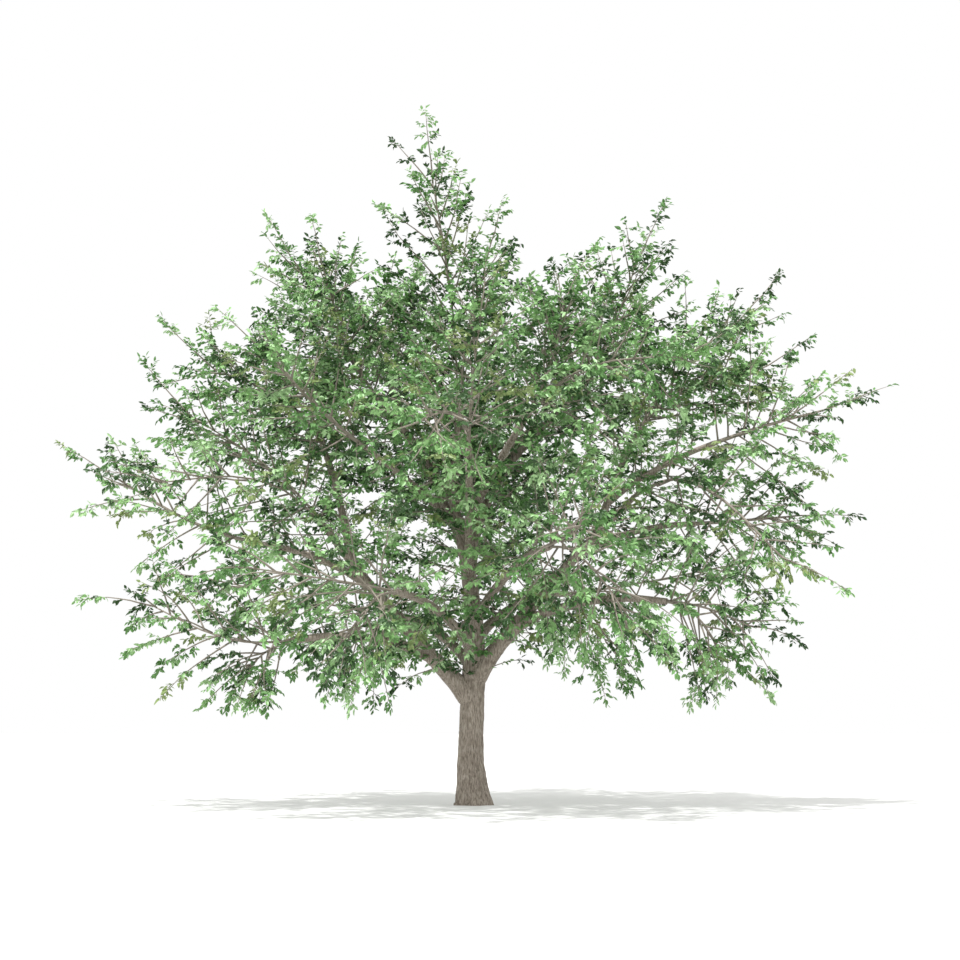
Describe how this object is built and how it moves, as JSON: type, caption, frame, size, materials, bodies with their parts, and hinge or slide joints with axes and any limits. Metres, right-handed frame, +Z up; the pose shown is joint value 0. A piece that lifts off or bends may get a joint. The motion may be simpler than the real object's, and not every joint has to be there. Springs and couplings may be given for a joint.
{
  "type": "beech tree",
  "caption": "Broad open-grown beech tree in full leaf: short flared trunk forking low into rising boughs that carry a domed, open crown of leafy sprays.",
  "frame": {"origin": "centre of the trunk's flat cut at ground level", "axes": "+Z up along the trunk, +X to the right and -Y towards the viewer in the picture's view"},
  "size_m": [10.8692, 9.9468, 9.0416],
  "materials": {
    "bark": "matt, shallowly fissured grey-brown bark",
    "leaves": "semi-matt mid green leaves"
  },
  "bodies": {
    "root": {"bough_back": "bark", "bough_back_left": "bark", "bough_back_right": "bark", "bough_back_rise": "bark", "bough_back_rise_right": "bark", "bough_front": "bark", "bough_front_left": "bark", "bough_front_right": "bark", "bough_front_rise": "bark", "bough_left": "bark", "bough_left_front": "bark", "bough_left_low": "bark", "bough_left_mid": "bark", "bough_left_rise": "bark", "bough_right": "bark", "bough_right_arm": "bark", "bough_right_low": "bark", "bough_right_out": "bark", "bough_right_rise": "bark", "leader_left": "bark", "leader_right": "bark", "trunk": "bark", "foliage_back_a": "leaves", "foliage_back_b": "leaves", "foliage_back_left_a": "leaves", "foliage_back_left_b": "leaves", "foliage_back_right_a": "leaves", "foliage_back_right_b": "leaves", "foliage_back_rise_a": "leaves", "foliage_back_rise_b": "leaves", "foliage_back_rise_right_a": "leaves", "foliage_front_a": "leaves", "foliage_front_b": "leaves", "foliage_front_left_a": "leaves", "foliage_front_left_b": "leaves", "foliage_front_right_a": "leaves", "foliage_front_right_b": "leaves", "foliage_front_rise_a": "leaves", "foliage_front_rise_b": "leaves", "foliage_leader_left_a": "leaves", "foliage_leader_left_b": "leaves", "foliage_leader_right_a": "leaves", "foliage_leader_right_b": "leaves", "foliage_left_a": "leaves", "foliage_left_b": "leaves", "foliage_left_front_a": "leaves", "foliage_left_low_a": "leaves", "foliage_left_low_b": "leaves", "foliage_left_mid_a": "leaves", "foliage_left_rise_a": "leaves", "foliage_left_rise_b": "leaves", "foliage_right_a": "leaves", "foliage_right_arm_a": "leaves", "foliage_right_low_a": "leaves", "foliage_right_low_b": "leaves", "foliage_right_out_a": "leaves", "foliage_right_rise_a": "leaves", "foliage_right_rise_b": "leaves", "foliage_top_a": "leaves", "foliage_top_b": "leaves"}
  },
  "joints": []
}
